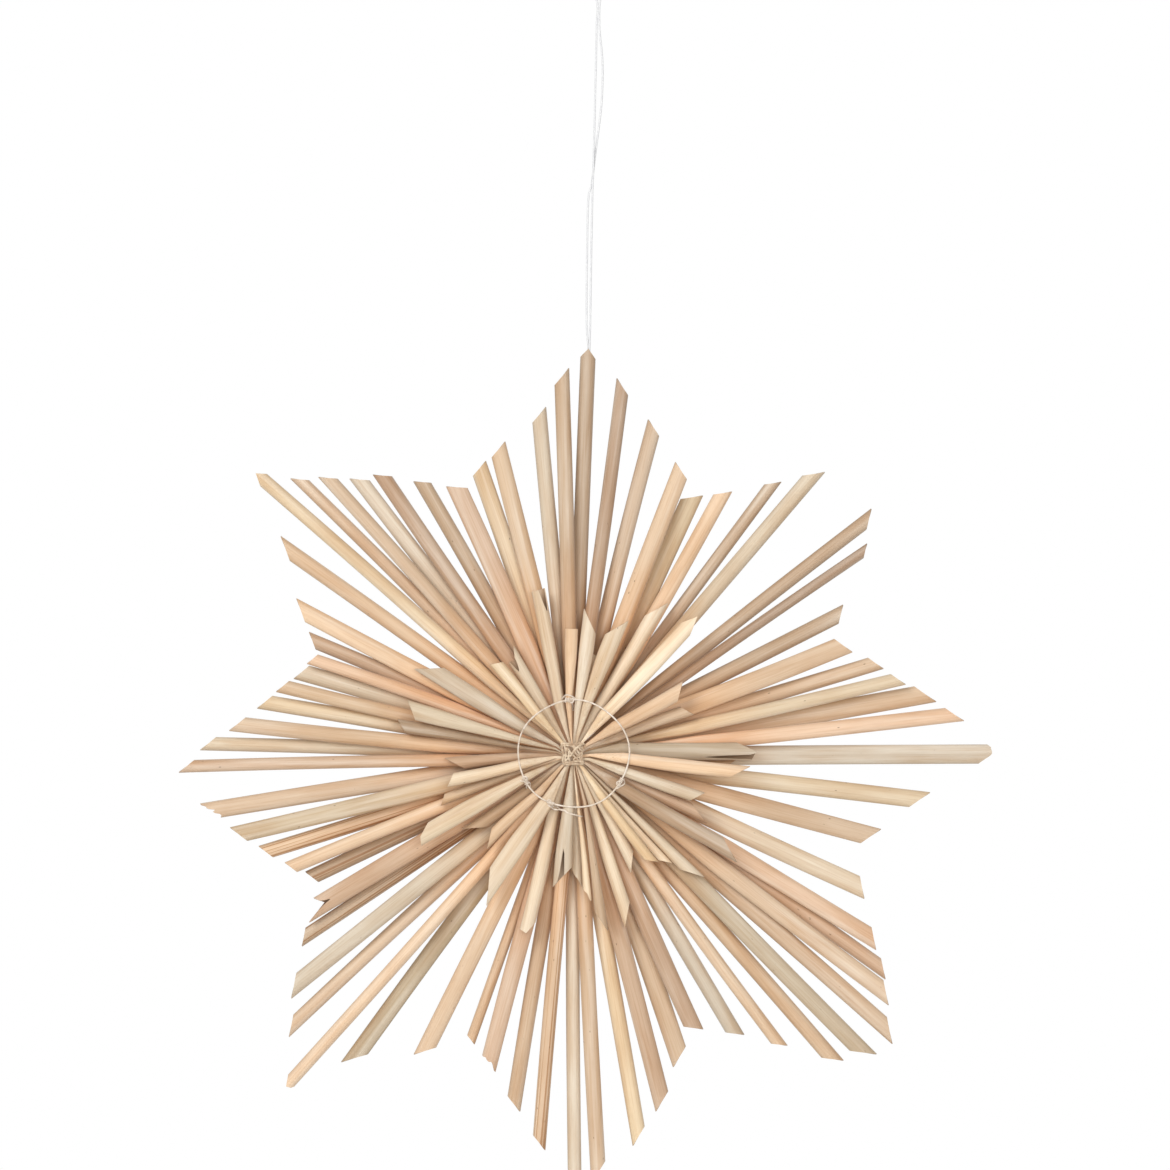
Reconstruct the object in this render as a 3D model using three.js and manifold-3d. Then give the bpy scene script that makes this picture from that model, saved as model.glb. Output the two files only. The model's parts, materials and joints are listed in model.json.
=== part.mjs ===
// Straw star ornament: thirty-six long straws and, in front of them, eighteen short ones,
// all crossed at one middle, pinched flat there, bound with thread and hung by a thread loop.
//
// Millimetres, +Z up. The star stands in the XZ plane and faces -Y. The origin is the top of
// the thread loop, where a hook bears on it; the star hangs below.
// Directions in the star are degrees clockwise from the top, as seen from the front.

import * as THREE from 'three';
import Module from 'manifold-3d';

const wasm = await Module();
wasm.setup();

// ---- Driving dimensions ----

const HUB_DROP = 306; // from the hook down to the middle of the star
const HUB_LEFT = 10.4; // how far the middle lies to the left of the hook
const SIDES = 8; // corners of a straw's section
const WALL = 0.5; // wall of the hollow straw at the bottom of its bore; it thins to an edge at the tip
const GIRTH = { a: 4.2, b: 5.1, c: 5.6, d: 6.2, e: 7.0, f: 7.8 }; // a straw's width, by letter
const ROUND = 5.7; // diameter of a round straw; pressed wider than this, it is thinner
const THICKEST = 5.2;
const LAYER = 5.4; // depth that one layer of straws takes up
const TOUCH = 0.1; // gap left between two straws that touch
const PINCHED = 0.2; // thickness of a pinched straw
const PINCH = 7; // the straws are pinched flat within this distance of the middle

const RING_RADIUS = 22.5; // the thread ring that holds the fan open
const BINDING = 0.7; // diameter of the binding thread
const TIE = 8.6; // side of the binding's square knot
const THREAD = 0.75; // diameter of the hanging thread

// ---- The long straws ----
// The star's outline: a point, a notch, a point ... each as [degrees, reach]. It gives the
// slant at which each straw is cut off.

const LONG_OUTLINE = [
  [2.2, 162.5], [23.5, 114.5], [46.5, 166.5], [66, 117], [89.7, 171], [109, 119.5], [133.5, 176],
  [158, 120.5], [178, 174], [201, 122], [220.5, 177], [242.5, 115.5], [267, 159], [291.5, 110],
  [311.5, 170], [338.5, 115.5],
];

// The straws' ends in the star's points and notches: where each tip lies, how far it reaches
// from the middle, by how much its body is turned from there further in, and its girth. A
// capital letter lays the end in the front one of the star's two layers.

const LONG_ENDS = [
  { at: [2.25, 7.75, 14, 21], reach: [162, 151, 137, 123.5], girth: 'dCdE' },
  { at: [25, 30, 36.6, 40.8], reach: [115.5, 122.5, 137, 151], turn: [1.2, 1.2, 0, 0.6], girth: 'fDbD' },
  { at: [51.7, 55.3, 62.6], reach: [154.5, 144.5, 123.5], turn: [-0.6, 0.4, -1.1], girth: 'cAd' },
  { at: [68.3, 73.5, 77.2], reach: [119, 129, 136], turn: [-1, 0, 0.5], girth: 'FdC' },
  { at: [80.5, 84.2, 90.1], reach: [147, 157, 169], turn: [1, 1.5, 1.6], girth: 'fDf' },
  { at: [93.5, 97.6, 105.5], reach: [66, 144, 127], turn: [2.3, 3, 1.5], girth: 'AeF' },
  {
    at: [114.9, 121.6, 124.8, 127.4, 131.2], reach: [130.5, 144.5, 154.5, 161.5, 173],
    turn: [0, 0, 0, 0, 0.3], girth: 'fEdEe',
  },
  { at: [135.8, 139.6, 144.6, 149.9], reach: [171, 164, 145, 132], turn: [0.4, 3, 2, 1], girth: 'EdBd' },
  { at: [156.2, 160.6, 165.6, 170.2], reach: [122, 132, 147, 159], turn: [0, 0, 0, 0.4], girth: 'EfEd' },
  {
    at: [176.5, 179.7, 184.9, 189.5], reach: [172, 173.5, 159, 145],
    turn: [-2.4, 0, -0.4, -0.2], girth: 'DcCd',
  },
  {
    at: [195.1, 199.5, 206.4, 215.6], reach: [131, 123, 136, 154.5],
    turn: [0, 0, -0.2, -2.4], girth: 'EaEe',
  },
  { at: [220.7, 225.9, 230.2], reach: [175.5, 160.5, 149], turn: [-4, -4.2, -3.4], girth: 'BcE' },
  { at: [235.6, 239, 244.6], reach: [133, 125, 117], turn: [-1.5, 0, -0.3], girth: 'cFd' },
  { at: [248, 252.2, 256.4, 261], reach: [123, 131, 140, 151], girth: 'CdEe' },
  { at: [268.1, 271.5, 275], reach: [157.5, 149, 137.5], turn: [-2, -1.2, -1.8], girth: 'BcD' },
  {
    at: [279.4, 283, 286.6, 289.9], reach: [127.5, 121, 115.5, 112],
    turn: [-1, 0, 0, 1], girth: 'dCeB',
  },
  { at: [293.4, 297.8, 305.5, 311.5], reach: [116, 126.5, 145.5, 169], girth: 'cEdC' },
  {
    at: [315.1, 318.4, 322.1, 325.6, 331], reach: [157.5, 150, 141.5, 137, 126],
    turn: [0, 0, 0, 0.5, 0.6], girth: 'bCdDd',
  },
  { at: [336.5, 341.9, 346.3], reach: [118, 122, 127.5], turn: [0.6, 0.8, 1], girth: 'FeE' },
  { at: [354.4, 358.4], reach: [139, 154], girth: 'dD' },
];
const LONG_SPLITS = { 239: 6 }; // an end split down the middle: how deep

// ---- The short straws of the front star ----

// These are cut off one by one: `slant` is how steeply the cut rises towards the right.

const SHORT_ENDS = [
  {
    at: [7.5, 13, 19.5, 30.2], reach: [58, 41, 57.5, 71],
    turn: [-1, -0.5, -3, -1], slant: [-1.5, -0.3, 1.2, 1.6], girth: 'DaEc',
  },
  {
    at: [42.3, 60, 69.6], reach: [74, 52.5, 51],
    turn: [-2.5, -2, -0.5], slant: [-0.2, -0.9, 0.8], girth: 'DDb',
  },
  {
    at: [89.3, 96.2, 108.9], reach: [73.5, 71, 55],
    turn: [-4.5, -1.5, 0], slant: [0.9, -1.4, -0.9], girth: 'eCB',
  },
  {
    at: [115.2, 121.3, 135, 139.3], reach: [60.5, 78.5, 72, 59.5],
    turn: [0, 4, -0.5, 1], slant: [1.8, 1.6, -1.8, -1.3], girth: 'bDba',
  },
  {
    at: [143.6, 151.3, 161.3], reach: [55, 53, 72.5],
    turn: [2, -0.5, -2.5], slant: [-1, 1.4, 1.8], girth: 'Abb',
  },
  {
    at: [170.3, 174, 178], reach: [72.5, 61, 53.5],
    turn: [-4.5, 0, 0], slant: [-1.8, -1.7, -1.6], girth: 'BAa',
  },
  {
    at: [184.7, 194.5, 212.5, 224.6], reach: [53.5, 74, 69.5, 51],
    turn: [-0.5, 5.5, -5, -4], slant: [1.2, 0.7, -1.7, -1.4], girth: 'EcFB',
  },
  {
    at: [233, 241.5, 250.3], reach: [53.5, 70.5, 56.5],
    turn: [-3, 1.5, 0], slant: [1.6, -1, -0.7], girth: 'cEa',
  },
  {
    at: [257.9, 265.2, 279.2], reach: [51.5, 51, 71],
    turn: [0.5, 1, -2.5], slant: [-0.7, 1.5, 0.8], girth: 'Bbb',
  },
  {
    at: [285.2, 300.8, 320], reach: [69, 71.5, 48.5],
    turn: [0, -3.5, -2], slant: [0.7, -1.4, -0.5], girth: 'EeB',
  },
  {
    at: [328.4, 348.2, 359.6], reach: [50.5, 67, 50],
    turn: [-0.5, -3, -4], slant: [0.9, 0.1, -0], girth: 'ccB',
  },
];
const SHORT_SPLITS = { 42.3: -7, 89.3: -5, 194.5: -3, 241.5: -2, 328.4: 2.5 }; // less than 0: a point

// A star's straws bend at `shoulder`, where at most the share `early` of their width is reached,
// and have their full section at `open`. `back` is the depth, from the back of the whole star,
// at which its rear layer begins; `slim` is how much of a layer's depth the straws take up
// where they are pinched.

const LONG_STAR = {
  name: 'long_straw', outline: LONG_OUTLINE, ends: LONG_ENDS, splits: LONG_SPLITS,
  shoulder: 38, early: 1, open: 38, back: 0, slim: 1, tones: 'tpttyttctptttytpctytcppttyttcptpytct',
};
const SHORT_STAR = {
  name: 'short_straw', ends: SHORT_ENDS, splits: SHORT_SPLITS,
  shoulder: 20, early: 0.78, open: 41, back: 2 * LAYER, slim: 0.5, tones: 'cccccttctcptccycct',
};
const HANGING_DEPTH = 0.5 * LAYER; // from the back of the star to the middle of its rear layer

// Straw tones: tan, pinkish, yellowish, cream.

const TONES = { t: '#d6b08a', p: '#c89f80', y: '#dcc08c', c: '#e4d0b0' };
const BINDING_COLOUR = '#cdbb9f';
const THREAD_COLOUR = '#e6e2da';

// ---- Small helpers ----

const radians = THREE.MathUtils.degToRad;
const hub = new THREE.Vector3(-HUB_LEFT, 0, -HUB_DROP);
const depthways = new THREE.Vector3(0, 1, 0);

/** The direction of a ray of the star. */
const ray = (degrees) => new THREE.Vector3(Math.sin(radians(degrees)), 0, Math.cos(radians(degrees)));

/** The direction a quarter turn clockwise from another in the star's plane. */
const rightOf = (direction) => new THREE.Vector3(direction.z, 0, -direction.x);

/** The place at a depth measured from the back of the star. */
const depthAt = (fromBack) => HANGING_DEPTH - fromBack;

/**
 * The lines along which an outline cuts off a straw that lies on a ray: how steeply each rises
 * to the right and how high it crosses the ray. Near a point of the star both its edges count.
 */
function cutLines(outline, degrees) {
  const corners = outline.map(([turn, reach]) => {
    const angle = radians(turn - degrees);
    return { x: reach * Math.sin(angle), y: reach * Math.cos(angle) };
  });
  const count = corners.length;
  const line = (i) => {
    const a = corners[i % count];
    const b = corners[(i + 1) % count];
    const rise = (b.y - a.y) / (b.x - a.x);
    return { rise, height: a.y - rise * a.x };
  };
  const hit = corners.findIndex((a, i) => a.x <= 0 && corners[(i + 1) % count].x > 0 && a.y > 0);
  return [line(hit), line(hit + (hit % 2 ? 1 : count - 1))];
}

// ---- Straws ----

/** A ring of corners round an ellipse; `shift` moves each along, given its sideways offset. */
function section(centre, sideways, halfWidth, halfDepth, shift = () => new THREE.Vector3()) {
  return Array.from({ length: SIDES }, (_, i) => {
    const angle = (i * 2 * Math.PI) / SIDES;
    const offset = halfWidth * Math.cos(angle);
    return centre.clone()
      .addScaledVector(sideways, offset)
      .addScaledVector(depthways, halfDepth * Math.sin(angle))
      .add(shift(offset));
  });
}

/** A closed skin over a row of rings, capped at the first and the last. */
function skin(rings) {
  const index = [];
  const last = (rings.length - 1) * SIDES;
  for (let k = 0; k < last; k += SIDES) {
    for (let i = 0; i < SIDES; i += 1) {
      const j = (i + 1) % SIDES;
      index.push(k + i, k + j, k + SIDES + j);
      index.push(k + i, k + SIDES + j, k + SIDES + i);
    }
  }
  for (let i = 1; i + 1 < SIDES; i += 1) {
    index.push(0, i + 1, i);
    index.push(last, last + i, last + i + 1);
  }
  const geometry = new THREE.BufferGeometry().setFromPoints(rings.flat());
  geometry.setIndex(index);
  return faceted(geometry);
}

/** The ends of a star's straws in order, each with its section and its share of the fan. */
function fan(star) {
  const ends = star.ends.flatMap(({ at, reach, turn = [], slant = [], girth }) => at.map((tip, i) => {
    const letter = girth[i].toLowerCase();
    const width = GIRTH[letter];
    const depth = Math.min(THICKEST, width, 2 * ROUND - width);
    const layer = girth[i] === letter ? 0 : 1;
    const body = tip + (turn[i] ?? 0);
    return { tip, reach: reach[i], body, slant: slant[i], width, depth, layer };
  }));
  setLevels(star, ends);
  ends.forEach((end, i) => {
    end.room = Infinity;
    for (let step = 1; step <= 5; step += 1) {
      end.room = Math.min(
        end.room,
        room(end, ends[(i + step) % ends.length], 1),
        room(end, ends[(i + ends.length - step) % ends.length], -1),
      );
    }
    end.share = Math.min(end.room, end.width / 2 / star.open);
  });
  return ends;
}

/** Stacks the straws at the middle: one level for both ends, the rear layer's straws first. */
function setLevels(star, ends) {
  const half = ends.length / 2;
  const stack = Array.from({ length: half }, (_, k) => k);
  stack.sort((a, b) => ends[a].layer - ends[b].layer || a - b);
  stack.forEach((k, place) => {
    const level = star.back + (star.slim * 2 * LAYER * (place + 0.5)) / half;
    ends[k].level = level;
    ends[k + half].level = level;
  });
}

/** An end's share of the angle to another one that it can't pass in front of or behind. */
function room(end, other, way) {
  const passes = (end.layer - other.layer) * (end.level - other.level) > 0;
  if (passes) return Infinity;
  const angles = ['tip', 'body'].map((key) => (way * (other[key] - end[key]) + 360) % 360);
  return (radians(Math.min(...angles)) * end.width) / (end.width + other.width);
}

/** How far the cut lies beyond the tip's middle, at an offset to the right. */
function cutAt(star, end, offset) {
  const lines = star.outline ? cutLines(star.outline, end.tip) : [{ rise: end.slant, height: 0 }];
  const height = Math.min(...lines.map((line) => line.height + line.rise * offset));
  const split = star.splits[end.tip] ?? 0;
  return height - split * (1 - Math.abs(offset) / (end.width / 2));
}

/** The rings of half a straw from the pinch outwards; `way` is -1 to run them the other way. */
function halfStraw(star, end, way) {
  const inward = ray(end.body);
  const across = rightOf(inward).multiplyScalar(way);
  const place = (direction, distance, fromBack) => {
    const point = hub.clone().addScaledVector(direction, distance);
    return point.setY(depthAt(fromBack));
  };
  const shoulder = place(inward, star.shoulder, star.back + (end.layer + 0.5) * LAYER);
  const inPlane = shoulder.clone().sub(hub).setY(0);
  const within = (distance, most) => Math.min(most, distance * end.room - TOUCH / 2);
  const narrow = within(star.shoulder, (star.early * end.width) / 2);
  const thin = Math.min(end.depth / 2, narrow);
  const rings = [
    section(place(inward, PINCH, end.level), across, within(PINCH, 0.55), PINCHED / 2),
    section(shoulder, across, narrow, thin),
  ];

  // Beyond the shoulder the straw runs straight to its tip, where every corner runs on to the
  // cut. The cut is moved along the straw until its furthest corner has the end's reach.
  const tip = ray(end.tip).multiplyScalar(end.reach);
  const out = tip.clone().sub(inPlane).normalize();
  const right = rightOf(out);
  const spots = [-0.5, -0.25, 0, 0.25, 0.5].map((part) => {
    const offset = part * end.width;
    const height = cutAt(star, end, offset);
    const spot = tip.clone().addScaledVector(right, offset).addScaledVector(out, height);
    return { height, over: spot.length() - end.reach };
  });
  const cutFrom = tip.distanceTo(inPlane) - Math.max(...spots.map((spot) => spot.over));
  const lowest = cutFrom + Math.min(...spots.map((spot) => spot.height));

  const side = right.clone().multiplyScalar(way);
  const at = (distance) => shoulder.clone().addScaledVector(out, distance);
  const full = (end.width / 2 + TOUCH / 2) / end.share - star.shoulder;
  const wide = Math.min(end.width / 2, (star.shoulder + lowest) * end.share - TOUCH / 2);
  const deep = (end.depth / end.width) * wide;
  if (full > 1 && full < lowest - 1) rings.push(section(at(full), side, wide, deep));
  const cut = (offset) => out.clone().multiplyScalar(cutFrom + cutAt(star, end, way * offset));
  rings.push(section(shoulder, side, wide, deep, cut));

  // The bore.
  const bottom = Math.max(lowest - 3, 1);
  const opened = Math.min(1, bottom / Math.max(full, 1));
  const boreWidth = narrow + opened * (wide - narrow) - WALL;
  const boreDepth = thin + opened * (deep - thin) - WALL;
  rings.push(section(at(bottom), side, boreWidth, boreDepth));
  return rings;
}

/** All straws of a star; each joins two ends that face each other across the middle. */
function straws(star) {
  const ends = fan(star);
  const half = ends.length / 2;
  return Array.from({ length: half }, (_, k) => {
    const rings = [
      ...halfStraw(star, ends[k], -1).reverse(),
      ...halfStraw(star, ends[k + half], 1),
    ];
    const number = String(k + 1).padStart(2, '0');
    return mesh(`${star.name}_${number}`, skin(rings), TONES[star.tones[k]], 0.6);
  });
}

// ---- Threads ----

/** A thread ring round the star at one depth, a little wavy, with a knot here and there. */
function threadRing(name, fromBack, knots, seed) {
  const around = 30;
  const tube = BINDING / 2;
  const geometry = new THREE.TorusGeometry(RING_RADIUS, tube, 5, around);
  const position = geometry.attributes.position;
  const point = new THREE.Vector3();
  for (let i = 0; i < position.count; i += 1) {
    point.fromBufferAttribute(position, i);
    const angle = Math.atan2(point.x, point.y);
    const degrees = (THREE.MathUtils.radToDeg(angle) + 360) % 360;
    const knotted = knots.some((knot) => Math.abs(((knot - degrees + 540) % 360) - 180) < 180 / around);
    const axis = new THREE.Vector3(Math.sin(angle), Math.cos(angle), 0).multiplyScalar(RING_RADIUS);
    point.sub(axis).multiplyScalar(knotted ? 2.4 : 1);
    const wave = 1 + 0.012 * Math.sin(5 * angle + seed) + 0.008 * Math.sin(9 * angle);
    point.add(axis.multiplyScalar(wave));
    position.setXYZ(i, hub.x + point.x, depthAt(fromBack) - point.z, hub.z + point.y);
  }
  return mesh(name, faceted(geometry), BINDING_COLOUR, 0.8);
}

/** The same faces with flat shading. */
function faceted(geometry) {
  const flat = geometry.index ? geometry.toNonIndexed() : geometry;
  flat.computeVertexNormals();
  return flat;
}

/** A round stick between two points of the star's plane, centred at a depth. */
function stick(from, to, radius, fromBack) {
  const [a, b] = [from, to].map(([x, z]) => new THREE.Vector3(hub.x + x, depthAt(fromBack), hub.z + z));
  const length = a.distanceTo(b);
  const turn = new THREE.Quaternion().setFromUnitVectors(
    new THREE.Vector3(0, 0, 1), b.clone().sub(a).normalize(),
  );
  const matrix = new THREE.Matrix4().compose(a, turn, new THREE.Vector3(1, 1, 1));
  return wasm.Manifold.cylinder(length, radius, radius, 6).transform(matrix.toArray());
}

/** The binding at the middle: a pad of thread with strands laid round and across it. */
function tie(name, fromBack, facing) {
  const half = TIE / 2;
  const inner = half - 0.6;
  const pad = wasm.Manifold.cube([TIE - 1.4, 1, TIE - 1.4], true)
    .translate([hub.x, depthAt(fromBack + facing * 0.6), hub.z]);
  const height = fromBack + facing * 0.95;
  const strands = [
    stick([-half, inner], [half, inner - 0.3], 0.75, height),
    stick([inner, half], [inner - 0.2, -half], 0.75, height),
    stick([half, -inner], [-half, -inner + 0.2], 0.75, height),
    stick([-inner, -half], [-inner + 0.3, half], 0.75, height),
    stick([-0.6, 3.2], [3.6, -1.6], 0.6, height + facing * 0.5),
    stick([-2.6, -2.9], [1.8, 2.6], 0.6, height + facing * 0.3),
  ];
  const solid = strands.reduce((sum, strand) => sum.add(strand), pad).getMesh();
  const geometry = new THREE.BufferGeometry();
  geometry.setAttribute('position', new THREE.BufferAttribute(solid.vertProperties, 3));
  geometry.setIndex(new THREE.BufferAttribute(solid.triVerts, 1));
  return mesh(name, faceted(geometry), BINDING_COLOUR, 0.8);
}

/** The hanging thread: up from inside the top straw, round the hook and down again. */
function hangingThread() {
  const path = new THREE.CatmullRomCurve3([
    [-3.75, -0.45, -151], [-3.6, -0.45, -146.5], [-3.55, -0.43, -143], [-3.3, -0.42, -133],
    [-2.95, -0.42, -109], [-2.5, -0.42, -85], [-2.3, -0.45, -78], [-1.9, -0.45, -66],
    [-1.5, -0.42, -51], [-1.3, -0.25, -41], [-1, -0.1, -29], [-0.75, 0, -16], [-0.45, 0, -7],
    [-0.75, 0, -4.6], [-1.55, 0, -2.9], [-1.8, 0, -1.5], [-1.3, 0, -0.15], [0, 0, 0.37],
    [1.3, 0, -0.15], [1.8, 0, -1.5], [1.55, 0, -2.9], [0.75, 0, -4.6], [0.4, 0, -7],
    [0.4, 0, -16], [1.6, 0.1, -29], [1.5, 0.25, -41], [0.7, 0.42, -51], [-1.1, 0.45, -65],
    [-2.7, 0.45, -78], [-4.1, 0.42, -85], [-4.6, 0.42, -109], [-4.75, 0.42, -133],
    [-4.1, 0.43, -143], [-3.9, 0.45, -146.5], [-3.85, 0.45, -151],
  ].map((point) => new THREE.Vector3(...point)));
  path.getUtoTmapping = (u) => u; // steps follow the points, so the loop at the top stays round
  const circle = new THREE.Shape(Array.from({ length: 8 }, (_, i) => {
    const angle = (i * Math.PI) / 4;
    return new THREE.Vector2(Math.cos(angle), Math.sin(angle)).multiplyScalar(THREAD / 2);
  }));
  const geometry = new THREE.ExtrudeGeometry(circle, {
    extrudePath: path, steps: path.points.length - 1, bevelEnabled: false,
  });
  return mesh('hanging_thread', geometry, THREAD_COLOUR, 0.7);
}

/** A named mesh with a colour of its own. */
function mesh(name, geometry, color, roughness) {
  const material = new THREE.MeshStandardMaterial({ color, roughness, metalness: 0 });
  const body = new THREE.Mesh(geometry, material);
  body.name = name;
  return body;
}

// ---- Assembly ----

const shortFront = SHORT_STAR.back + SHORT_STAR.slim * 2 * LAYER;
const ringDepth = SHORT_STAR.back + 2 * LAYER;

const star = new THREE.Group();
star.name = 'straw_star_ornament';
star.add(...straws(LONG_STAR));
star.add(...straws(SHORT_STAR));
star.add(threadRing('ring_thread_front', ringDepth + BINDING / 2 + 0.1, [120, 204, 240, 355], 1));
star.add(threadRing('ring_thread_back', -BINDING / 2 - 0.1, [60, 300], 2));
star.add(tie('centre_tie_front', shortFront, 1));
star.add(tie('centre_tie_back', 0, -1));
star.add(hangingThread());

export default star;
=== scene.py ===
"""A straw star: long and short dried stalks crossed at one middle, bound and hung by thread.

The star lies in the XZ plane and faces -Y. The hook that holds it is at the origin.
Directions in the star are degrees clockwise from the top, as seen from the front.
"""

import json
import math
import random

import bpy
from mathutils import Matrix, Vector
from mathutils.bvhtree import BVHTree


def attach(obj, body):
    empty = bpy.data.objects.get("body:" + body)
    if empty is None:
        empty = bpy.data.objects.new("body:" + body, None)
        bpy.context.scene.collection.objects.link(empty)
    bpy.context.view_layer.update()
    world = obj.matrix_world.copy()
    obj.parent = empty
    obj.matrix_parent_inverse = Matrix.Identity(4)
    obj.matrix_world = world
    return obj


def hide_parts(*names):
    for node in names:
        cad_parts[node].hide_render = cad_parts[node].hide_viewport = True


MM = 0.001
HUB = Vector((-10.4, 0, -306)) * MM  # the middle of the star
LONG_STALKS, SHORT_STALKS = 36, 18
WIDEST = 8 * MM  # a stalk at its widest
WALL = 0.35 * MM  # a stalk's wall at its tip
AROUND = 32  # corners of a stalk's section
FRAME_AROUND = 8  # corners of the section of a straw in the frame
TEETH = 8  # steps across a frayed end

THREAD = 0.75 * MM  # diameter of the hanging thread
RING_RADIUS = 22.5 * MM
RING_STEP = 2  # degrees from one point of the ring to the next
RING_THREAD, STRAND_THREAD, KNOT_THREAD = 0.33 * MM, 0.3 * MM, 0.25 * MM  # radii

CAMERA_PLACE = (HUB.x + 5.0 * MM, -4.003, HUB.z + 67.3 * MM)
SENSOR, VIEW_FROM, VIEW_ACROSS = 36, 4.0, 0.468  # millimetres, then metres to and across the star
# Each lamp's name, place, size and power.
LAMPS = [
    ("key", (-1.2, -2.0, 0.8), 1.2, 31),
    ("fill", (0.5, -2.3, -0.1), 1.0, 18),
    ("back", (0.9, 2.1, 0.5), 1.4, 9),
]

# How one half of a stalk is cut into rings: pinched flat, opening, and free.
PINCHED, OPENING, FREE = 1, 9, 20

# ---- Tones of the dried stalks, as sRGB ----

# One for each of the frame's straw slots.
SLOT_TONES = {
    "straw_tan": (0.82, 0.71, 0.59),
    "straw_pinkish": (0.79, 0.67, 0.56),
    "straw_yellowish": (0.84, 0.75, 0.62),
    "straw_cream": (0.87, 0.80, 0.70),
}
# How far a stalk and each of its ends stray from that in lightness, and each end in warmth.
STALK_SPREAD, END_SPREAD, WARM_SPREAD = 0.03, 0.05, 0.012

# Ends with something of their own, each by its stalk and 0 or 1 for the first or second end.
STRIPED = {("long_straw_36", 0), ("long_straw_09", 1), ("long_straw_13", 1), ("long_straw_11", 1)}
FRAYED = {
    ("long_straw_15", 1): 4.5, ("long_straw_02", 1): 2.0, ("long_straw_17", 0): 0.8,
    ("short_straw_16", 1): 2.0, ("short_straw_01", 1): 1.5, ("short_straw_02", 1): 1.5,
}
# Where round the stalk the wall is slit open from the tip (0 to the right, -90 in front), how
# wide the slit is, both in degrees, and how long in millimetres.
SLIT = {
    ("short_straw_08", 0): (-38, 30, 21), ("short_straw_17", 1): (-42, 42, 10),
    ("short_straw_03", 1): (-82, 16, 14), ("short_straw_16", 1): (-110, 30, 5),
    ("long_straw_10", 1): (-90, 14, 3),
}
# A groove along the whole end, by where it lies round the stalk.
GROOVED = {("short_straw_08", 1): -62, ("long_straw_17", 0): -80, ("short_straw_17", 1): -100}


# ---- Small helpers ----


def ray(degrees):
    """The direction of a ray of the star."""
    angle = math.radians(degrees)
    return Vector((math.sin(angle), 0, math.cos(angle)))


def right_of(direction):
    """The direction a quarter turn clockwise from another in the star's plane."""
    return Vector((direction.z, 0, -direction.x))


def mix(a, b, share):
    """What lies a share of the way from one value to another."""
    return a + (b - a) * share


def smooth_line(points, steps):
    """Points along a smooth curve through the given ones, `steps` to each stretch."""
    ends = [2 * points[0] - points[1], *points, 2 * points[-1] - points[-2]]
    line = []
    for before, start, stop, after in zip(ends, ends[1:], ends[2:], ends[3:]):
        for step in range(steps):
            t = step / steps
            line.append(
                0.5
                * (
                    2 * start
                    + (stop - before) * t
                    + (2 * before - 5 * start + 4 * stop - after) * t**2
                    + (3 * start - before - 3 * stop + after) * t**3
                )
            )
    return [*line, points[-1].copy()]


def to_linear(channel):
    """One channel of an sRGB colour as a linear value."""
    return channel / 12.92 if channel <= 0.04045 else ((channel + 0.055) / 1.055) ** 2.4


def linear(colour):
    """An sRGB colour as the linear one that a shader takes."""
    return (*(to_linear(channel) for channel in colour), 1)


def line_curve(name, line, radius, cyclic=False):
    """A round thread along a line of points."""
    curve = bpy.data.curves.new(name, "CURVE")
    curve.dimensions = "3D"
    curve.bevel_depth = radius
    curve.bevel_resolution = 2
    curve.use_fill_caps = not cyclic
    spline = curve.splines.new("POLY")
    spline.points.add(len(line) - 1)
    for point, place in zip(spline.points, line):
        point.co = (*place, 1)
    spline.use_cyclic_u = cyclic
    thread = bpy.data.objects.new(name, curve)
    bpy.context.scene.collection.objects.link(thread)
    return thread


def only(piece):
    """Selects one object alone and makes it the active one."""
    bpy.ops.object.select_all(action="DESELECT")
    piece.select_set(True)
    bpy.context.view_layer.objects.active = piece


def join_as_mesh(pieces, name):
    """Turns thread curves into one mesh piece."""
    only(pieces[0])
    for piece in pieces:
        piece.select_set(True)
    bpy.ops.object.convert(target="MESH")
    bpy.ops.object.join()
    joined = bpy.context.object
    joined.name = joined.data.name = name
    return joined


# ---- Finishes ----


class Nodes:
    """A material's node tree, built link by link."""

    def __init__(self, name):
        self.material = bpy.data.materials.new(name)
        self.material.use_nodes = True
        self.tree = self.material.node_tree
        self.shader = self.tree.nodes["Principled BSDF"]

    def add(self, kind, inputs=(), **settings):
        """A node with its settings and inputs; a socket given as an input is linked."""
        node = self.tree.nodes.new("ShaderNode" + kind)
        for key, value in settings.items():
            setattr(node, key, value)
        for socket, value in dict(inputs).items():
            if isinstance(value, bpy.types.NodeSocket):
                self.tree.links.new(value, node.inputs[socket])
            else:
                node.inputs[socket].default_value = value
        return node

    def attribute(self, name, output):
        return self.add("Attribute", attribute_name=name).outputs[output]

    def stretched(self, vector, scale):
        return self.add("Mapping", {"Vector": vector, "Scale": scale}).outputs["Vector"]

    def noise(self, vector, detail=2.0):
        settings = {"Vector": vector, "Scale": 1.0, "Detail": detail}
        return self.add("TexNoise", settings).outputs["Fac"]

    def spread(self, value, low, high, to_low=0.0, to_high=1.0):
        settings = {
            "Value": value, "From Min": low, "From Max": high, "To Min": to_low, "To Max": to_high,
        }
        return self.add("MapRange", settings).outputs["Result"]

    def tinted(self, share, colour, tint, how="MIX"):
        node = self.add("Mix", data_type="RGBA", blend_type=how)
        for index, value in ((0, share), (6, colour), (7, tint)):
            if isinstance(value, bpy.types.NodeSocket):
                self.tree.links.new(value, node.inputs[index])
            else:
                node.inputs[index].default_value = value
        return node.outputs[2]

    def product(self, a, b):
        return self.add("Math", {0: a, 1: b}, operation="MULTIPLY").outputs[0]

    def connect(self, socket, name):
        self.tree.links.new(socket, self.shader.inputs[name])


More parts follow.
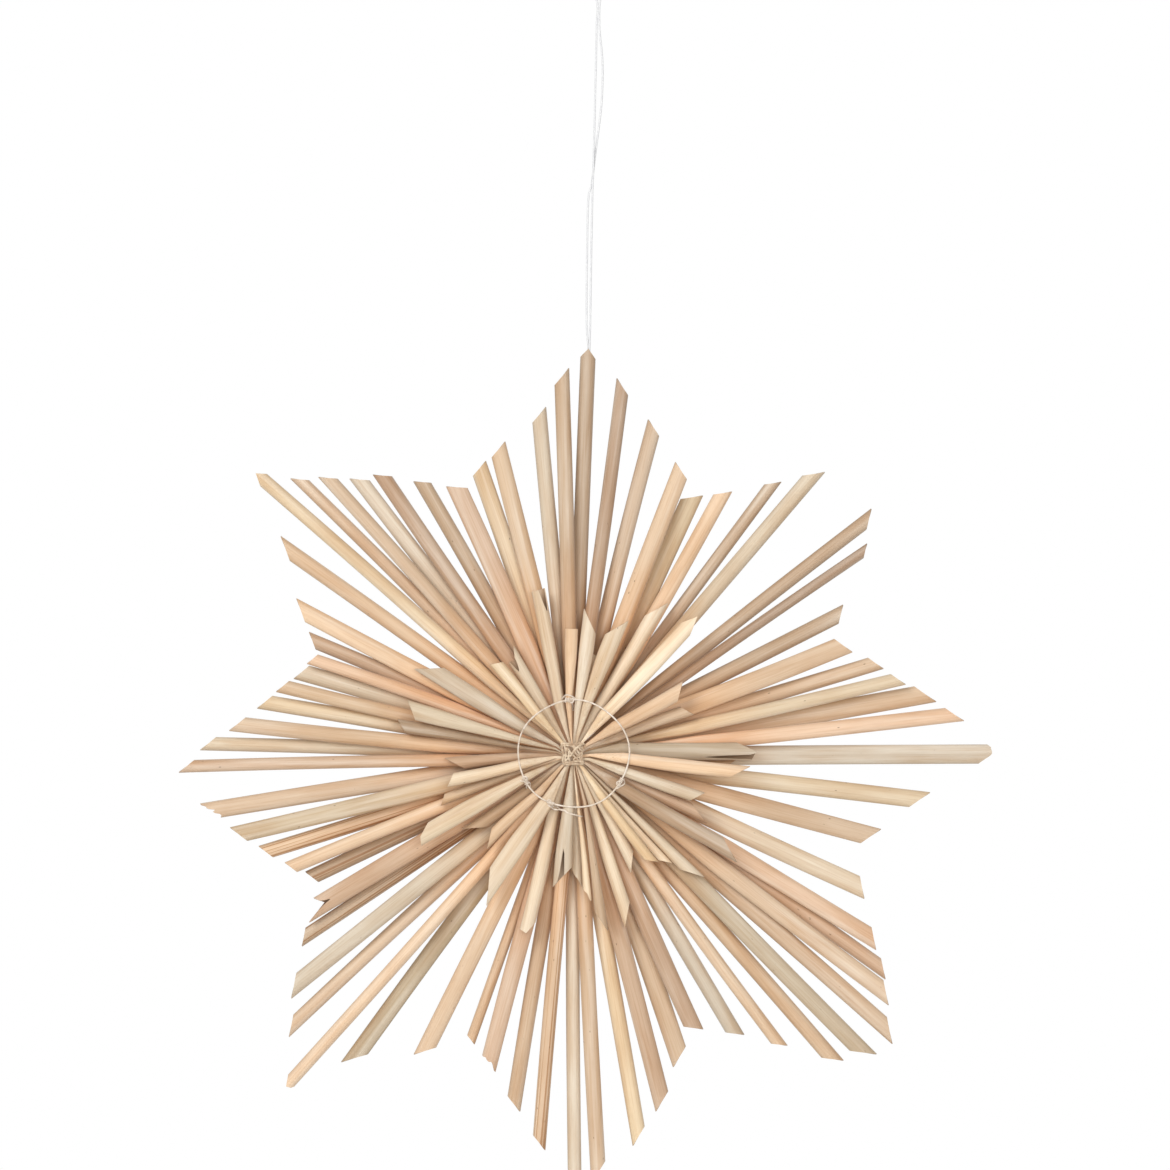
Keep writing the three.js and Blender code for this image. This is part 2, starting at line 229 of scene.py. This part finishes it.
def dry_straw():
    """Satin stalks: long fine grain, clouded tone, a few dark specks, stripes on some, and painted
    shade in folds and gaps.
    """
    nodes = Nodes("dry straw")
    tone = nodes.attribute("tone", "Color")
    stalk = nodes.attribute("stalk", "Vector")
    striped = nodes.attribute("striped", "Fac")

    clouds = nodes.noise(nodes.stretched(stalk, (170, 170, 26)), 3)
    clouded = nodes.spread(clouds, 0.42, 0.72, 0, 0.75)
    colour = nodes.tinted(clouded, tone, (0.80, 0.66, 0.52, 1), "MULTIPLY")
    pale = nodes.noise(nodes.stretched(stalk, (260, 260, 14)), 2)
    paled = nodes.spread(pale, 0.5, 0.75, 0, 0.35)
    colour = nodes.tinted(paled, colour, (0.93, 0.86, 0.74, 1))
    grain = nodes.noise(nodes.stretched(stalk, (2600, 2600, 45)), 4)
    grained = nodes.spread(grain, 0.45, 0.7, 0, 0.4)
    colour = nodes.tinted(grained, colour, (0.74, 0.60, 0.46, 1), "MULTIPLY")

    lines = nodes.noise(nodes.stretched(stalk, (1500, 1500, 6)), 0)
    line = nodes.product(nodes.spread(lines, 0.52, 0.6), striped)
    colour = nodes.tinted(nodes.product(line, 0.8), colour, (0.62, 0.42, 0.26, 1), "MULTIPLY")

    # Painted shade: folds, the gaps near the middle and the bore are darkened towards warm brown.
    shade = nodes.attribute("shade", "Fac")
    colour = nodes.tinted(shade, colour, (0.46, 0.27, 0.15, 1), "MULTIPLY")

    scattered = nodes.stretched(stalk, (420, 420, 160))
    cells = nodes.add("TexVoronoi", {"Vector": scattered, "Scale": 1.0})
    speck = nodes.spread(cells.outputs["Distance"], 0.10, 0.05)
    gate = nodes.spread(nodes.noise(nodes.stretched(stalk, (90, 90, 40))), 0.55, 0.62)
    specked = nodes.product(nodes.product(speck, gate), 0.75)
    colour = nodes.tinted(specked, colour, (0.16, 0.08, 0.04, 1))
    nodes.connect(colour, "Base Color")

    nodes.connect(nodes.spread(grain, 0.3, 0.7, 0.42, 0.6), "Roughness")
    ridges = nodes.noise(nodes.stretched(stalk, (3400, 3400, 30)), 2)
    bump = nodes.add("Bump", {"Strength": 0.35, "Distance": 0.0001, "Height": ridges})
    nodes.connect(bump.outputs["Normal"], "Normal")
    nodes.shader.inputs["Specular IOR Level"].default_value = 0.35
    nodes.shader.inputs["Sheen Weight"].default_value = 0.1
    return nodes.material


def twisted_thread(name, pale, dark):
    """Matte thread: fine fibres and a mottled tone."""
    nodes = Nodes(name)
    place = nodes.add("TexCoord").outputs["Object"]
    mottle = nodes.noise(nodes.stretched(place, (700, 700, 700)), 3)
    nodes.connect(nodes.tinted(nodes.spread(mottle, 0.35, 0.7), pale, dark), "Base Color")
    fibres = nodes.noise(nodes.stretched(place, (4500, 4500, 4500)), 3)
    bump = nodes.add("Bump", {"Strength": 0.25, "Distance": 0.0001, "Height": fibres})
    nodes.connect(bump.outputs["Normal"], "Normal")
    nodes.shader.inputs["Roughness"].default_value = 0.8
    nodes.shader.inputs["Sheen Weight"].default_value = 0.3
    return nodes.material


# ---- Camera and light ----


def set_camera():
    """A straight camera that looks at the star square on."""
    data = bpy.data.cameras.new("camera")
    camera = bpy.data.objects.new("camera", data)
    bpy.context.scene.collection.objects.link(camera)
    camera.location = CAMERA_PLACE
    camera.rotation_euler = (math.radians(90), 0, 0)
    data.sensor_width = SENSOR
    data.lens = SENSOR * VIEW_FROM / VIEW_ACROSS
    bpy.context.scene.camera = camera


def add_lamp(name, place, size, power):
    """A soft square lamp that looks at the middle of the star."""
    data = bpy.data.lights.new(name, "AREA")
    data.size = size
    data.energy = power
    lamp = bpy.data.objects.new(name, data)
    bpy.context.scene.collection.objects.link(lamp)
    lamp.location = place
    lamp.rotation_euler = (HUB - Vector(place)).to_track_quat("-Z", "Y").to_euler()


def set_studio():
    """A pale floor far below, soft lamps and a white surround."""
    bpy.ops.object.select_all(action="DESELECT")
    bpy.ops.mesh.primitive_plane_add(size=5, location=(0, 0, -1.0))
    floor = bpy.context.object
    floor.name = "floor"
    nodes = Nodes("pale floor")
    place = nodes.add("TexCoord").outputs["Object"]
    patches = nodes.noise(nodes.stretched(place, (3, 3, 3)), 2)
    nodes.connect(nodes.tinted(patches, (0.86, 0.86, 0.85, 1), (0.90, 0.90, 0.89, 1)), "Base Color")
    floor.data.materials.append(nodes.material)

    for lamp in LAMPS:
        add_lamp(*lamp)

    world = bpy.data.worlds.new("surround")
    bpy.context.scene.world = world
    world.use_nodes = True
    tree = world.node_tree
    background = tree.nodes["Background"]
    background.inputs["Color"].default_value = (1, 1, 1, 1)
    seen = tree.nodes.new("ShaderNodeLightPath").outputs["Is Camera Ray"]
    strength = tree.nodes.new("ShaderNodeMapRange")
    strength.inputs["To Min"].default_value = 0.42
    strength.inputs["To Max"].default_value = 1.0
    tree.links.new(seen, strength.inputs["Value"])
    tree.links.new(strength.outputs["Result"], background.inputs["Strength"])
    bpy.context.scene.view_settings.view_transform = "Standard"


# ---- The hanging thread ----

# The thread's route in millimetres, up from inside the top stalk, round the hook and down.
HANGING_ROUTE = [
    (-3.75, -0.45, -151), (-3.6, -0.45, -146.5), (-3.55, -0.43, -143), (-3.3, -0.42, -133),
    (-2.95, -0.42, -109), (-2.5, -0.42, -85), (-2.3, -0.45, -78), (-1.9, -0.45, -66),
    (-1.5, -0.42, -51), (-1.3, -0.25, -41), (-1, -0.1, -29), (-0.75, 0, -16), (-0.45, 0, -7),
    (-0.75, 0, -4.6), (-1.55, 0, -2.9), (-1.8, 0, -1.5), (-1.3, 0, -0.15), (0, 0, 0.37),
    (1.3, 0, -0.15), (1.8, 0, -1.5), (1.55, 0, -2.9), (0.75, 0, -4.6), (0.4, 0, -7),
    (0.4, 0, -16), (1.6, 0.1, -29), (1.5, 0.25, -41), (0.7, 0.42, -51), (-1.1, 0.45, -65),
    (-2.7, 0.45, -78), (-4.1, 0.42, -85), (-4.6, 0.42, -109), (-4.75, 0.42, -133),
    (-4.1, 0.43, -143), (-3.9, 0.45, -146.5), (-3.85, 0.45, -151),
]

# The knots on each face's ring: where each lies, in degrees, and its size in millimetres.
FRONT_KNOTS = ((120, 1.8), (204, 1.5), (240, 1.8), (355, 1.9))
BACK_KNOTS = ((60, 1.2), (300, 1.2))
# Loose strands at the front ring's knots, each a route of degrees and reach in millimetres.
RING_STRANDS = [
    [(206, 22.4), (198, 23.2), (190, 22.6), (184, 23.6), (177, 24.4), (171, 25.4)],
    [(203, 22.6), (197, 21.9), (191, 22.9), (186, 22.7)],
    [(246, 21.8), (242, 20.4), (238, 21.6), (233, 22.9)],
    [(243, 23.4), (240, 22.2), (236, 20.6), (231, 21.8)],
    [(352, 22.8), (356, 21.6), (360, 19.6), (361, 17.0)],
    [(349, 22.2), (354, 23.6), (359, 23.0), (363, 22.0)],
    [(116, 22.8), (120, 23.8), (125, 22.9), (128, 22.4)],
]


def hang_thread(finish):
    """The doubled thread that the star hangs by."""
    line = smooth_line([Vector(point) * MM for point in HANGING_ROUTE], 6)
    thread = line_curve("hanging_thread_dressed", line, THREAD / 2)
    thread.data.materials.append(finish)
    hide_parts("hanging_thread")
    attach(thread, "root")


# ---- Stalks ----


def stalk_template():
    """A hollow tube whose height counts stations, from -3 at one tip to 3 at the other.

    Its outer wall has radius 1; a smaller radius marks the wall of the bore.
    """
    steps = [1 / FREE] * FREE + [1 / OPENING] * OPENING + [1 / PINCHED] * PINCHED
    bpy.ops.object.select_all(action="DESELECT")
    bpy.ops.mesh.primitive_circle_add(vertices=AROUND, radius=1, location=(0, 0, 0))
    tube = bpy.context.object
    bpy.ops.object.mode_set(mode="EDIT")
    bpy.ops.transform.translate(value=(0, 0, -3))
    for step in [*steps, *reversed(steps)]:
        bpy.ops.mesh.extrude_region_move(TRANSFORM_OT_translate={"value": (0, 0, step)})
    for end in (1, -1):
        bpy.ops.mesh.select_mode(type="VERT")
        bpy.ops.mesh.select_all(action="DESELECT")
        bpy.ops.object.mode_set(mode="OBJECT")
        for vertex in tube.data.vertices:
            vertex.select = vertex.co.z * end > 2.999
        bpy.ops.object.mode_set(mode="EDIT")
        bpy.ops.mesh.extrude_region_move()
        bpy.ops.transform.resize(value=(0.8, 0.8, 1))
        for depth in (0.02, 0.13, 0.2):
            move = {"value": (0, 0, -end * depth)}
            bpy.ops.mesh.extrude_region_move(TRANSFORM_OT_translate=move)
        bpy.ops.mesh.edge_face_add()
    bpy.ops.mesh.select_all(action="SELECT")
    bpy.ops.mesh.normals_make_consistent(inside=False)
    bpy.ops.object.mode_set(mode="OBJECT")
    tube.name = "stalk_template"
    return tube


class Half:
    """Half a straw of the frame, measured: where its rings lie and how wide and deep they are."""

    def __init__(self, corners):
        flat = Vector((1, 0, 1))
        pinch = [corner for corner in corners if (corner * flat).length < 8 * MM]
        self.pinch = sum(pinch, Vector()) / len(pinch)
        self.inward = (self.pinch * flat).normalized()
        rest = sorted(
            (corner for corner in corners if corner not in pinch),
            key=lambda corner: corner.dot(self.inward),
        )
        shoulder, rim = rest[:FRAME_AROUND], rest[-FRAME_AROUND:]
        self.shoulder = sum(shoulder, Vector()) / FRAME_AROUND
        self.out = ((sum(rim, Vector()) / FRAME_AROUND - self.shoulder) * flat).normalized()
        self.side = right_of(self.out)
        across = right_of(self.inward)
        self.half_widths = [
            max(abs((corner - centre).dot(side)) for corner in ring)
            for ring, centre, side in (
                (pinch, self.pinch, across), (shoulder, self.shoulder, across),
                (rim, self.shoulder, self.side),
            )
        ]
        self.half_depths = [
            (max(corner.y for corner in ring) - min(corner.y for corner in ring)) / 2
            for ring in (pinch, shoulder, rim)
        ]
        # How far the rim lies from the shoulder, at each sideways offset.
        edge = {}
        for corner in rim:
            offset = round((corner - self.shoulder).dot(self.side), 6)
            edge[offset] = (corner - self.shoulder).dot(self.out)
        self.edge = sorted(edge.items())
        # Where it reaches its full width: at a ring of its own, at the shoulder or at the rim.
        rings = {}
        for corner in rest[FRAME_AROUND:-FRAME_AROUND]:
            place = corner - self.shoulder
            distance = round(place.dot(self.out), 5)
            rings[distance] = max(rings.get(distance, 0), abs(place.dot(self.side)))
        if len(rings) > 1:
            self.full = max(rings, key=rings.get)
        elif self.half_widths[2] > 1.05 * self.half_widths[1]:
            self.full = min(edge.values())
        else:
            self.full = 0.01 * MM

    def rim_at(self, offset):
        """How far out the cut lies at a sideways offset."""
        if offset <= self.edge[0][0]:
            return self.edge[0][1]
        for (low, near), (high, far) in zip(self.edge, self.edge[1:]):
            if offset <= high:
                return mix(near, far, (offset - low) / (high - low))
        return self.edge[-1][1]

    def grown(self, distance):
        """How much of its widening a half has done at a distance beyond the shoulder."""
        soft = min(4 * MM, 0.45 * self.full)
        if distance < self.full - soft:
            return distance / self.full
        if distance > self.full + soft:
            return 1.0
        return 1 - (self.full + soft - distance) ** 2 / (4 * soft * self.full)


def halves_of(node):
    """The two halves of a straw of the frame, the first end first."""
    seen = {}
    for vertex in frame["nodes"][node].data.vertices:
        seen[tuple(round(value, 6) for value in vertex.co)] = vertex.co - HUB
    corners = list(seen.values())
    axis = max(corners, key=lambda corner: corner.length)
    sides = [[c for c in corners if c.dot(axis) * way > 0] for way in (1, -1)]
    halves = [Half(side) for side in sides]
    return sorted(halves, key=turn_of)


def turn_of(half):
    """Where a half's tip lies, in degrees clockwise from the top."""
    tip = half.shoulder + half.out * half.edge[0][1]
    return math.degrees(math.atan2(tip.x, tip.z)) % 360


class Manner:
    """How one half stalk differs from a clean tube: lumps, folds, a slit, a frayed end."""

    def __init__(self, chance, stalk_end):
        self.lump = chance.uniform(0.004, 0.016)
        self.phase = chance.uniform(0, 6.28)
        self.bow = chance.uniform(-0.5, 0.5) * MM
        self.teeth = [chance.uniform(0, 1) for _ in range(TEETH + 1)]
        self.frayed = FRAYED.get(stalk_end, 0)
        self.slit = SLIT.get(stalk_end)
        self.groove = GROOVED.get(stalk_end)
        # Lengthwise folds where the stalk is squeezed, one in front and one behind.
        self.folds = [
            (side * chance.uniform(45, 135), chance.uniform(0.1, 0.4)) for side in (-1, 1)
        ]

    def missing(self, offset, angle):
        """How much is missing from the end at a sideways offset and an angle round the stalk."""
        place = (offset / WIDEST + 0.5) * TEETH
        low = min(TEETH - 1, max(0, int(place)))
        teeth = mix(self.teeth[low], self.teeth[low + 1], min(1.0, max(0.0, place - low)))
        lost = teeth * self.frayed * MM
        if self.slit:
            centre, width, length = self.slit
            lost += length * MM * dip(angle, centre, width) ** 0.6
        return lost

    def folded(self, angle, squeezed):
        """How deep the folds lie at an angle, as a share of the stalk's depth."""
        depth = sum(share * dip(angle, centre, 18) for centre, share in self.folds) * squeezed
        if self.groove is not None:
            depth += 0.2 * dip(angle, self.groove, 24)
        return min(0.75, depth)


def dip(angle, centre, width):
    """1 at an angle round the stalk, falling to 0 at a width to either side; in degrees."""
    away = abs((math.degrees(angle) - centre + 180) % 360 - 180)
    return max(0.0, 1 - away / width)


def place_on(half, manner, station, angle, bore):
    """The place of one corner of the tube on a half straw, seen from the hub, and its fold."""
    cos, sin = math.cos(angle), math.sin(angle)
    wall = WALL if bore else 0
    widths, depths = half.half_widths, half.half_depths
    if station <= 2:
        share = max(0.0, station - 1)
        centre = mix(half.pinch, half.shoulder, share)
        if station < 1:
            centre = mix(half.middle, half.pinch, station)
        fold = manner.folded(angle, min(1, 3 * share) * (1 - 0.35 * share))
        half_width = mix(widths[0], widths[1], share)
        half_depth = mix(depths[0], depths[1], share) * (1 - fold)
        side = right_of(half.inward)
        return centre + side * half_width * cos + Vector((0, half_depth * sin, 0)), fold
    share = station - 2
    rim = half.rim_at(widths[2] * cos)
    rim = max(4 * MM, rim - manner.missing(widths[2] * cos, angle))
    distance = rim * share
    grown = half.grown(distance)
    squeezed = 0.65 * max(0.0, 1 - distance / (1.6 * half.full + 4 * MM)) ** 1.5
    fold = manner.folded(angle, squeezed)
    wave = 1 + math.sin(3 * angle + manner.phase + 2 * share)
    lump = 1 - manner.lump * wave * min(1, 4 * share)
    half_width = mix(widths[1], widths[2], grown) * lump - wall
    half_depth = mix(depths[1], depths[2], grown) * lump * (1 - fold) - wall
    bow = manner.bow * math.sin(math.pi * min(1.0, share))
    centre = half.shoulder + half.out * distance
    return centre + half.side * (half_width * cos + bow) + Vector((0, half_depth * sin, 0)), fold


def painted_warm_light(place, short):
    """Painted light and shade as a colour factor: the crowded stalks near the middle look warmer
    than their tips, the short ones a little lighter and the long ones redder and darker in blue, as
    warm bounced light and shade; the long tips a touch cooler.
    """
    share = min(1.0, max(0.0, 1 - (math.hypot(place.x, place.z) - 55 * MM) / (28 * MM)))
    if short:
        return mix(Vector((1, 1, 1, 1)), Vector((1.04, 1.03, 1.01, 1)), share)
    return mix(Vector((1, 1.02, 1.05, 1)), Vector((1.07, 0.96, 0.86, 1)), share)


def shade_of(place, cos, fold, short):
    """Painted shade at a corner: darker in a fold, and on the flanks in the narrow gaps near the
    middle, where shade falls.
    """
    away = math.hypot(place.x, place.z)
    flank = max(0.0, abs(cos) - 0.8) / 0.2
    if short:
        near = max(0.0, 1 - away / (70 * MM))
        return min(1.0, 0.6 * fold + 0.25 * flank * near)
    near = max(0.0, 1 - max(0.0, away - 32 * MM) / (45 * MM))
    return min(1.0, 0.3 * fold + 0.2 * flank * near)


def tones_of(slot, seed):
    """The tones of a stalk's two ends, each straying a little from its slot's tone."""
    chance = random.Random(500 + seed)
    stalk = chance.gauss(1, STALK_SPREAD)
    tones = []
    for _ in range(2):
        light = stalk + chance.gauss(0, END_SPREAD)
        warm = chance.gauss(0, WARM_SPREAD)
        red, green, blue = SLOT_TONES[slot]
        tones.append([min(0.98, part) for part in (
            red * light, green * light - 0.4 * warm, blue * light - warm,
        )])
    return tones


def dress_stalk(template, node, name, seed, finish, slot):
    """A hollow stalk in the place of one straw of the frame."""
    chance = random.Random(seed)
    halves = halves_of(node)
    manners = [Manner(chance, (node, end)) for end in (0, 1)]
    middle = (halves[0].pinch + halves[1].pinch) / 2
    for half in halves:
        half.middle = middle
    mesh = template.data.copy()
    mesh.name = name
    stalk = bpy.data.objects.new(name, mesh)
    bpy.context.scene.collection.objects.link(stalk)
    mesh.color_attributes.new("tone", "FLOAT_COLOR", "POINT")
    mesh.attributes.new("stalk", "FLOAT_VECTOR", "POINT")
    for key in ("striped", "shade"):
        mesh.attributes.new(key, "FLOAT", "POINT")
    tone, lengthwise, striped, shade = (
        mesh.attributes[key] for key in ("tone", "stalk", "striped", "shade")
    )
    colours = [Vector(linear(colour)) for colour in tones_of(slot, seed)]
    short = node.startswith("short")
    for index, vertex in enumerate(mesh.vertices):
        station = vertex.co.z
        end = 1 if station > 0 else 0
        way = 1 if end else -1
        bore = Vector(vertex.co.xy).length < 0.95
        angle = math.atan2(vertex.co.y, vertex.co.x * way)
        place, fold = place_on(halves[end], manners[end], abs(station), angle, bore)
        vertex.co = HUB + place
        blend = min(1.0, max(0.0, 0.5 + station / 2))
        # The tone is multiplied by painted light and shade near the middle.
        tone.data[index].color = mix(*colours, blend) * painted_warm_light(place, short)
        flat = Vector((place.x, 0, place.z))
        lengthwise.data[index].vector = (
            flat.dot(halves[end].side) * way, place.y, flat.length * way + 0.7 * seed,
        )
        striped.data[index].value = 1.0 if (node, end) in STRIPED else 0.0
        # Painted shade in folds, on the flanks near the middle, and at least half strength inside
        # the bore.
        dark = shade_of(place, math.cos(angle), fold, short)
        shade.data[index].value = max(dark, 0.5) if bore else dark
    mesh.materials.append(finish)
    only(stalk)
    bpy.ops.object.shade_smooth_by_angle(angle=math.radians(50))
    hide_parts(node)
    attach(stalk, "root")
    return stalk


def slot_of(node):
    """The record's material slot for a node."""
    for part in frame["record"]["subparts"]:
        if part["node"] == node:
            return part["material_slot"]


def dress_stalks(finish):
    """All stalks of both stars; returns them."""
    template = stalk_template()
    stalks = []
    for kind, count in (("long", LONG_STALKS), ("short", SHORT_STALKS)):
        for index in range(count):
            node = f"{kind}_straw_{index + 1:02d}"
            seed = index + (100 if kind == "short" else 0)
            name = f"{kind}_stalk_{index + 1:02d}"
            stalks.append(dress_stalk(template, node, name, seed, finish, slot_of(node)))
    bpy.data.objects.remove(template)
    return stalks


# ---- The binding ----


def faces_of(pieces):
    """A search tree of several pieces' faces."""
    corners, faces = [], []
    for piece in pieces:
        start = len(corners)
        corners += [vertex.co.copy() for vertex in piece.data.vertices]
        faces += [[start + index for index in face.vertices] for face in piece.data.polygons]
    return BVHTree.FromPolygons(corners, faces)


def surface_under(tree, place, facing):
    """The depth of the first surface behind a place, looked at from in front or behind."""
    start = Vector((place.x, -0.2 * facing, place.z))
    hit = tree.ray_cast(start, Vector((0, facing, 0)))[0]
    return hit.y if hit else 0.0


def taut(depths, cyclic):
    """Depths of a taut thread: nowhere further back than a line between nearby crowns."""
    count = len(depths)
    drawn = []
    for index, own in enumerate(depths):
        reachable = [own]
        for left in range(1, 9):
            for right in range(1, 9):
                if cyclic or (index >= left and index + right < count):
                    a, b = depths[index - left], depths[(index + right) % count]
                    reachable.append((a * right + b * left) / (left + right))
        drawn.append(min(reachable))
    return drawn


def laid(tree, facing, spots, radius, cyclic=False):
    """A thread laid over the stalks through places given as degrees and reach."""
    places = [HUB + ray(turn) * reach for turn, reach in spots]
    depths = [surface_under(tree, place, facing) * facing - radius for place in places]
    depths = taut(depths, cyclic)
    return [Vector((place.x, depth * facing, place.z)) for place, depth in zip(places, depths)]


def ring_reach(turn, facing):
    """How far the ring lies from the middle: slightly wavy and a little flattened."""
    angle = math.radians(turn)
    flat = 0.985 - 0.035 * math.cos(angle) ** 2
    wave = 0.012 * math.sin(math.radians(5 * turn + 57 * facing))
    return RING_RADIUS * (flat + wave) + 0.4 * MM * math.sin(angle)


def strand(tree, facing, route, radius):
    """A loose strand laid over the stalks along a route of degrees and reach in mm."""
    corners = [Vector((turn, reach, 0)) for turn, reach in route]
    spots = [(spot.x, spot.y * MM) for spot in smooth_line(corners, 8)]
    return line_curve("strand", laid(tree, facing, spots, radius), radius)


def knot(centre, along, facing, size, chance):
    """A knot: thread wound round the ring, with a small loop standing off its end."""
    across = right_of(along)
    line = []
    for step in range(30):
        angle = step * 0.95
        reach = size * (0.36 + 0.07 * math.sin(step * 0.5 + chance.uniform(0, 0.8)))
        place = centre + along * size * (1.5 * step / 29 - 0.75)
        place += across * reach * math.cos(angle)
        place.y -= facing * reach * (0.5 + 0.8 * math.sin(angle))
        line.append(place)
    end = line[-1]
    for run, aside, lift in ((0.3, 0.3, 0.3), (0.1, 0.8, 0.4), (-0.4, 0.9, 0.3), (-0.6, 0.4, 0.2)):
        place = end + (along * run + across * aside) * size
        place.y -= facing * lift * size
        line.append(place)
    return line_curve("knot", smooth_line(line, 3), KNOT_THREAD)


def dress_ring(tree, side, facing, knots, strands, finish):
    """The thread ring on one face of the star, with its knots and loose strands."""
    chance = random.Random(5)
    spots = [(turn, ring_reach(turn, facing)) for turn in range(0, 360, RING_STEP)]
    line = laid(tree, facing, spots, RING_THREAD, cyclic=True)
    threads = [line_curve("ring", line, RING_THREAD, cyclic=True)]
    for turn, size in knots:
        centre = line[round(turn / RING_STEP) % len(line)]
        threads.append(knot(centre, right_of(ray(turn)), facing, size * MM, chance))
    threads += [strand(tree, facing, route, STRAND_THREAD) for route in strands]
    ring = join_as_mesh(threads, f"ring_thread_{side}_dressed")
    ring.data.materials.clear()
    ring.data.materials.append(finish)
    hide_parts(f"ring_thread_{side}")
    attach(ring, "root")


# The strands that bind the middle: places to the right, up and out of the face, in millimetres.
TIE_STRANDS = [
    [(-4.6, 3.9, -1.2), (-2.4, 4.1, 0.2), (0.8, 3.7, 0.5), (3.2, 4.0, 0.3), (4.7, 3.6, -1.2)],
    [(-4.5, 3.0, -1.2), (-2.0, 3.2, 0.5), (0.4, 3.3, 0.4), (2.2, 3.1, 0.4)],
    [(-4.1, 4.5, -1.2), (-4.0, 2.2, 0.3), (-3.5, -0.4, 0.5), (-3.8, -2.6, 0.3), (-3.1, -4.6, -1.2)],
    [(-3.3, 4.6, -1.2), (-3.1, 2.6, 0.6), (-2.6, 0.2, 0.6), (-2.9, -2.4, 0.4), (-2.3, -4.4, -1.2)],
    [(-3.4, -3.9, -1.2), (-1.8, -4.2, 0.3), (0.8, -3.8, 0.5), (3.0, -4.1, 0.3), (4.3, -3.6, -1.2)],
    [(-3.6, -3.2, -0.4), (-1.2, -3.4, 0.4), (1.4, -3.0, 0.6), (3.6, -3.3, 0.2), (4.4, -3.0, -1.2)],
    [(4.1, -4.4, -1.2), (3.9, -2.2, 0.3), (3.6, 0.2, 0.5), (4.0, 2.4, 0.3), (3.7, 4.5, -1.2)],
    [(3.3, -4.3, -1.2), (3.1, -2.4, 0.5), (2.9, 0.6, 0.3), (3.2, 2.8, 0.5), (2.9, 4.3, -1.2)],
    # Loops that slant across the upper right.
    [(-0.6, 3.4, 0.3), (0.4, 2.4, 1.2), (1.2, 0.4, 1.5), (2.4, -0.6, 0.9), (3.2, 0.4, 0.5)],
    [(0.3, 3.8, 0.3), (1.3, 2.7, 1.3), (2.1, 0.9, 1.6), (3.1, 0.2, 1.0), (4.1, 1.0, 0.2)],
    [(1.3, 4.0, 0.3), (2.2, 3.0, 1.1), (3.0, 1.6, 1.4), (3.9, 0.9, 0.6), (4.6, 1.6, -0.8)],
    [(-1.0, -1.2, 0.5), (0.2, 0.6, 1.3), (1.6, 2.2, 1.7), (3.0, 3.2, 1.2), (4.3, 3.9, -0.4)],
    [(-2.9, 2.4, 0.6), (-1.4, 1.6, 0.9), (-0.6, 0.2, 0.9), (0.6, -0.9, 0.7), (2.4, -2.6, 0.5)],
    [(-2.7, -2.8, 0.5), (-1.4, -1.4, 0.7), (-1.6, 0.6, 0.6), (-2.8, 1.8, 0.5)],
    [(-1.6, -4.3, -0.6), (-1.0, -2.6, 0.5), (-1.9, -1.0, 0.6), (-3.2, -0.4, 0.5)],
    [(1.0, -4.2, -0.6), (0.4, -2.8, 0.4), (1.2, -1.6, 0.5), (2.8, -1.4, 0.5)],
]


def dress_tie(tree, side, facing, finish):
    """The square tangle of thread that binds the middle on one face of the star."""
    chance = random.Random(11 if facing > 0 else 12)
    ground = surface_under(tree, HUB + Vector((0.5, 0, 0.5)) * MM, facing) * facing
    threads = []
    for number, route in enumerate(TIE_STRANDS):
        places = []
        for x, z, lift in route:
            shift = Vector((chance.uniform(-0.2, 0.2), 0, chance.uniform(-0.2, 0.2)))
            place = HUB + (Vector((x, 0, z)) + shift) * MM
            place.y = facing * (ground - (0.45 + lift) * MM)
            places.append(place)
        radius = (0.36 + 0.04 * (number % 3)) * MM
        threads.append(line_curve("strand", smooth_line(places, 6), radius))
    tie = join_as_mesh(threads, f"centre_tie_{side}_dressed")
    tie.data.materials.clear()
    tie.data.materials.append(finish)
    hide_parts(f"centre_tie_{side}")
    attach(tie, "root")


# ---- Assembly ----

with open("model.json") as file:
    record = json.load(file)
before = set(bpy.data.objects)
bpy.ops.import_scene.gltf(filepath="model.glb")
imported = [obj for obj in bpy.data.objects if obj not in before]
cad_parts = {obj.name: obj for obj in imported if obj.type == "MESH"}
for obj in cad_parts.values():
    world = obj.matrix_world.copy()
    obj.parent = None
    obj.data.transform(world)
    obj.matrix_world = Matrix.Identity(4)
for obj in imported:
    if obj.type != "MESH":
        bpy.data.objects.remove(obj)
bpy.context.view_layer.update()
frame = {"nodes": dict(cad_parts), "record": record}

set_camera()
hanging = twisted_thread("hanging thread", linear((0.91, 0.91, 0.91)), linear((0.86, 0.86, 0.87)))
hang_thread(hanging)
set_studio()

stalks = dress_stalks(dry_straw())
tree = faces_of(stalks)
binding = twisted_thread("binding thread", linear((0.94, 0.89, 0.83)), linear((0.84, 0.76, 0.67)))
dress_ring(tree, "front", 1, FRONT_KNOTS, RING_STRANDS, binding)
dress_ring(tree, "back", -1, BACK_KNOTS, (), binding)
darker = twisted_thread("middle binding", linear((0.88, 0.80, 0.69)), linear((0.68, 0.56, 0.44)))
dress_tie(tree, "front", 1, darker)
dress_tie(tree, "back", -1, darker)
